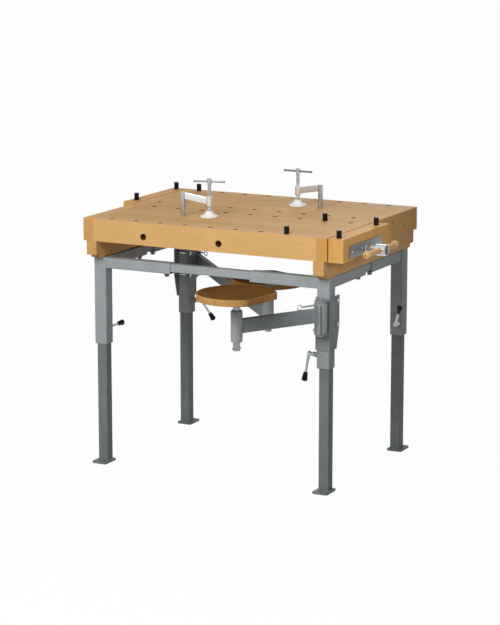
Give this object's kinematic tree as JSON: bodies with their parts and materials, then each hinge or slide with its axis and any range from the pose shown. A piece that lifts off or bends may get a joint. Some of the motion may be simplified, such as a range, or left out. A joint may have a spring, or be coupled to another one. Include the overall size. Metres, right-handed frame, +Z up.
{
  "type": "woodworking bench with vises",
  "caption": "Height-adjustable woodworking bench: beech top with dog holes on a telescoping steel stand, end vises, holdfasts and swing-out round seats.",
  "frame": {"origin": "centre of the footprint on the floor, halfway along the length and halfway between the front seat's rim and the back edge", "axes": "+X along the bench towards the right vise, +Y from the front seat towards the back, +Z up"},
  "size_m": [1.294, 1.2114, 1.091],
  "materials": {
    "beech_top": "satin lacquer",
    "beech_seat": "satin lacquer",
    "beech_handle": "satin lacquer",
    "steel_frame": "satin grey paint",
    "steel_bright": "bright zinc",
    "chrome_parts": "polished chrome",
    "grey_cast": "grey painted casting",
    "dark_steel": "dark zinc",
    "white_plastic": "matt",
    "black_plastic": "satin"
  },
  "bodies": {
    "bench": {"worktop_panel": "beech_top", "front_apron": "beech_top", "back_apron": "beech_top", "right_end_cap": "beech_top", "left_end_cap": "beech_top", "right_batten": "beech_top", "left_batten": "beech_top", "frame_front_right": "steel_frame", "frame_front_left": "steel_frame", "frame_back_left": "steel_frame", "frame_back_right": "steel_frame", "front_slider": "steel_frame", "back_slider": "steel_frame", "side_sliders": "steel_frame", "rail_screws": "dark_steel", "hinge_bolts": "dark_steel", "front_bracket": "steel_frame", "rear_bracket": "steel_frame", "right_nut": "grey_cast", "left_nut": "grey_cast"},
    "leg_front_right": {"leg_front_right": "steel_frame"},
    "leg_front_left": {"leg_front_left": "steel_frame"},
    "leg_back_left": {"leg_back_left": "steel_frame"},
    "leg_back_right": {"leg_back_right": "steel_frame"},
    "clamp_front_right": {"clamp_front_right": "steel_bright"},
    "clamp_front_left": {"clamp_front_left": "steel_bright"},
    "clamp_back_left": {"clamp_back_left": "steel_bright"},
    "clamp_back_right": {"clamp_back_right": "steel_bright"},
    "front_arm": {"front_seat_arm": "steel_frame", "front_arm_fittings": "steel_frame"},
    "front_ring": {"front_ring_screw": "steel_bright"},
    "front_post": {"front_seat_post": "steel_bright"},
    "front_board": {"front_seat_board": "beech_seat"},
    "rear_arm": {"rear_seat_arm": "steel_frame", "rear_arm_fittings": "steel_frame"},
    "rear_ring": {"rear_ring_screw": "steel_bright"},
    "rear_post": {"rear_seat_post": "steel_bright"},
    "rear_board": {"rear_seat_board": "beech_seat"},
    "right_jaw": {"right_jaw": "beech_top", "right_carriage": "grey_cast"},
    "right_screw": {"right_screw": "chrome_parts"},
    "right_handle": {"right_handle": "beech_handle"},
    "left_jaw": {"left_jaw": "beech_top", "left_carriage": "grey_cast"},
    "left_screw": {"left_screw": "chrome_parts"},
    "left_handle": {"left_handle": "beech_handle"},
    "front_holdfast": {"front_holdfast": "chrome_parts"},
    "front_pad": {"front_pad": "white_plastic"},
    "front_spindle": {"front_spindle": "chrome_parts"},
    "rear_holdfast": {"rear_holdfast": "chrome_parts"},
    "rear_pad": {"rear_pad": "white_plastic"},
    "rear_spindle": {"rear_spindle": "chrome_parts"},
    "dog_right_bench_outer": {"dog_right_bench_outer": "black_plastic"},
    "dog_right_bench_inner": {"dog_right_bench_inner": "black_plastic"},
    "dog_right_jaw_outer": {"dog_right_jaw_outer": "black_plastic"},
    "dog_right_jaw_inner": {"dog_right_jaw_inner": "black_plastic"},
    "dog_left_bench_outer": {"dog_left_bench_outer": "black_plastic"},
    "dog_left_bench_inner": {"dog_left_bench_inner": "black_plastic"},
    "dog_left_jaw_outer": {"dog_left_jaw_outer": "black_plastic"},
    "dog_left_jaw_inner": {"dog_left_jaw_inner": "black_plastic"}
  },
  "joints": [
    {"name": "leg_front_right_slide", "type": "slide", "parent": "bench", "child": "leg_front_right", "axis": [0, 0, 1], "range_m": [-0.02, 0.24]},
    {"name": "leg_front_left_slide", "type": "slide", "parent": "bench", "child": "leg_front_left", "axis": [0, 0, 1], "range_m": [-0.02, 0.24]},
    {"name": "leg_back_left_slide", "type": "slide", "parent": "bench", "child": "leg_back_left", "axis": [0, 0, 1], "range_m": [-0.02, 0.24]},
    {"name": "leg_back_right_slide", "type": "slide", "parent": "bench", "child": "leg_back_right", "axis": [0, 0, 1], "range_m": [-0.02, 0.24]},
    {"name": "clamp_front_right_turn", "type": "hinge", "parent": "bench", "child": "clamp_front_right", "pos_m": [0.437, -0.13027, 0.508], "axis": [-1, 0, 0], "range_deg": [-60, 60]},
    {"name": "clamp_front_left_turn", "type": "hinge", "parent": "bench", "child": "clamp_front_left", "pos_m": [-0.473, -0.09427, 0.508], "axis": [0, 1, 0], "range_deg": [-60, 60]},
    {"name": "clamp_back_left_turn", "type": "hinge", "parent": "bench", "child": "clamp_back_left", "pos_m": [-0.437, 0.53973, 0.508], "axis": [1, 0, 0], "range_deg": [-60, 60]},
    {"name": "clamp_back_right_turn", "type": "hinge", "parent": "bench", "child": "clamp_back_right", "pos_m": [0.473, 0.50373, 0.508], "axis": [0, -1, 0], "range_deg": [-60, 60]},
    {"name": "front_arm_swing", "type": "hinge", "parent": "bench", "child": "front_arm", "pos_m": [0.467, -0.17327, 0.668], "axis": [0, 0, 1], "range_deg": [-34, 110]},
    {"name": "front_ring_turn", "type": "hinge", "parent": "front_arm", "child": "front_ring", "pos_m": [0.42777, -0.26525, 0.703], "axis": [-0.3923, -0.9198, 0], "continuous": true},
    {"name": "front_post_slide", "type": "slide", "parent": "front_arm", "child": "front_post", "axis": [0, 0, 1], "range_m": [-0.03, 0.02]},
    {"name": "front_board_spin", "type": "hinge", "parent": "front_post", "child": "front_board", "pos_m": [0.28171, -0.46473, 0.756], "axis": [0, 0, 1], "continuous": true},
    {"name": "rear_arm_swing", "type": "hinge", "parent": "bench", "child": "rear_arm", "pos_m": [-0.467, 0.58273, 0.668], "axis": [0, 0, 1], "range_deg": [0, 204]},
    {"name": "rear_ring_turn", "type": "hinge", "parent": "rear_arm", "child": "rear_ring", "pos_m": [-0.37862, 0.53594, 0.703], "axis": [0.8838, -0.4679, 0], "continuous": true},
    {"name": "rear_post_slide", "type": "slide", "parent": "rear_arm", "child": "rear_post", "axis": [0, 0, 1], "range_m": [-0.05, 0.002]},
    {"name": "rear_board_spin", "type": "hinge", "parent": "rear_post", "child": "rear_board", "pos_m": [0.10866, 0.12226, 0.696], "axis": [0, 0, 1], "continuous": true},
    {"name": "right_jaw_slide", "type": "slide", "parent": "bench", "child": "right_jaw", "axis": [1, 0, 0], "range_m": [-0.0045, 0.12]},
    {"name": "right_screw_turn", "type": "hinge", "parent": "right_jaw", "child": "right_screw", "pos_m": [0.603, -0.00927, 0.886], "axis": [1, 0, 0], "range_deg": [-198, 5400]},
    {"name": "right_handle_slide", "type": "slide", "parent": "right_screw", "child": "right_handle", "axis": [0, 1, 0], "range_m": [-0.08, 0.08]},
    {"name": "left_jaw_slide", "type": "slide", "parent": "bench", "child": "left_jaw", "axis": [-1, 0, 0], "range_m": [-0.0045, 0.12]},
    {"name": "left_screw_turn", "type": "hinge", "parent": "left_jaw", "child": "left_screw", "pos_m": [-0.603, 0.41873, 0.886], "axis": [-1, 0, 0], "range_deg": [-198, 5400]},
    {"name": "left_handle_slide", "type": "slide", "parent": "left_screw", "child": "left_handle", "axis": [0, -1, 0], "range_m": [-0.08, 0.08]},
    {"name": "front_holdfast_slide", "type": "slide", "parent": "bench", "child": "front_holdfast", "axis": [0, 0, 1], "range_m": [0, 0.04]},
    {"name": "front_pad_slide", "type": "slide", "parent": "front_holdfast", "child": "front_pad", "axis": [0, 0, 1], "range_m": [0, 0.008]},
    {"name": "front_spindle_turn", "type": "hinge", "parent": "front_pad", "child": "front_spindle", "pos_m": [-0.08687, 0.02419, 0.969], "axis": [0, 0, 1], "range_deg": [0, 1440]},
    {"name": "rear_holdfast_slide", "type": "slide", "parent": "bench", "child": "rear_holdfast", "axis": [0, 0, 1], "range_m": [0, 0.04]},
    {"name": "rear_pad_slide", "type": "slide", "parent": "rear_holdfast", "child": "rear_pad", "axis": [0, 0, 1], "range_m": [0, 0.008]},
    {"name": "rear_spindle_turn", "type": "hinge", "parent": "rear_pad", "child": "rear_spindle", "pos_m": [0.08576, 0.41716, 0.969], "axis": [0, 0, 1], "range_deg": [0, 1440]},
    {"name": "dog_right_bench_outer_slide", "type": "slide", "parent": "bench", "child": "dog_right_bench_outer", "axis": [0, 0, 1], "range_m": [-0.027, 0.03]},
    {"name": "dog_right_bench_inner_slide", "type": "slide", "parent": "bench", "child": "dog_right_bench_inner", "axis": [0, 0, 1], "range_m": [-0.027, 0.03]},
    {"name": "dog_right_jaw_outer_slide", "type": "slide", "parent": "right_jaw", "child": "dog_right_jaw_outer", "axis": [0, 0, 1], "range_m": [-0.027, 0.03]},
    {"name": "dog_right_jaw_inner_slide", "type": "slide", "parent": "right_jaw", "child": "dog_right_jaw_inner", "axis": [0, 0, 1], "range_m": [-0.027, 0.03]},
    {"name": "dog_left_bench_outer_slide", "type": "slide", "parent": "bench", "child": "dog_left_bench_outer", "axis": [0, 0, 1], "range_m": [-0.027, 0.03]},
    {"name": "dog_left_bench_inner_slide", "type": "slide", "parent": "bench", "child": "dog_left_bench_inner", "axis": [0, 0, 1], "range_m": [-0.027, 0.03]},
    {"name": "dog_left_jaw_outer_slide", "type": "slide", "parent": "left_jaw", "child": "dog_left_jaw_outer", "axis": [0, 0, 1], "range_m": [-0.027, 0.03]},
    {"name": "dog_left_jaw_inner_slide", "type": "slide", "parent": "left_jaw", "child": "dog_left_jaw_inner", "axis": [0, 0, 1], "range_m": [-0.027, 0.03]}
  ],
  "couplings": [
    {"joint": "right_jaw_slide", "follows": "right_screw_turn", "m_per_rad": 0.0012732},
    {"joint": "left_jaw_slide", "follows": "left_screw_turn", "m_per_rad": 0.0012732},
    {"joint": "front_pad_slide", "follows": "front_spindle_turn", "m_per_rad": 0.00031831},
    {"joint": "rear_pad_slide", "follows": "rear_spindle_turn", "m_per_rad": 0.00031831}
  ]
}
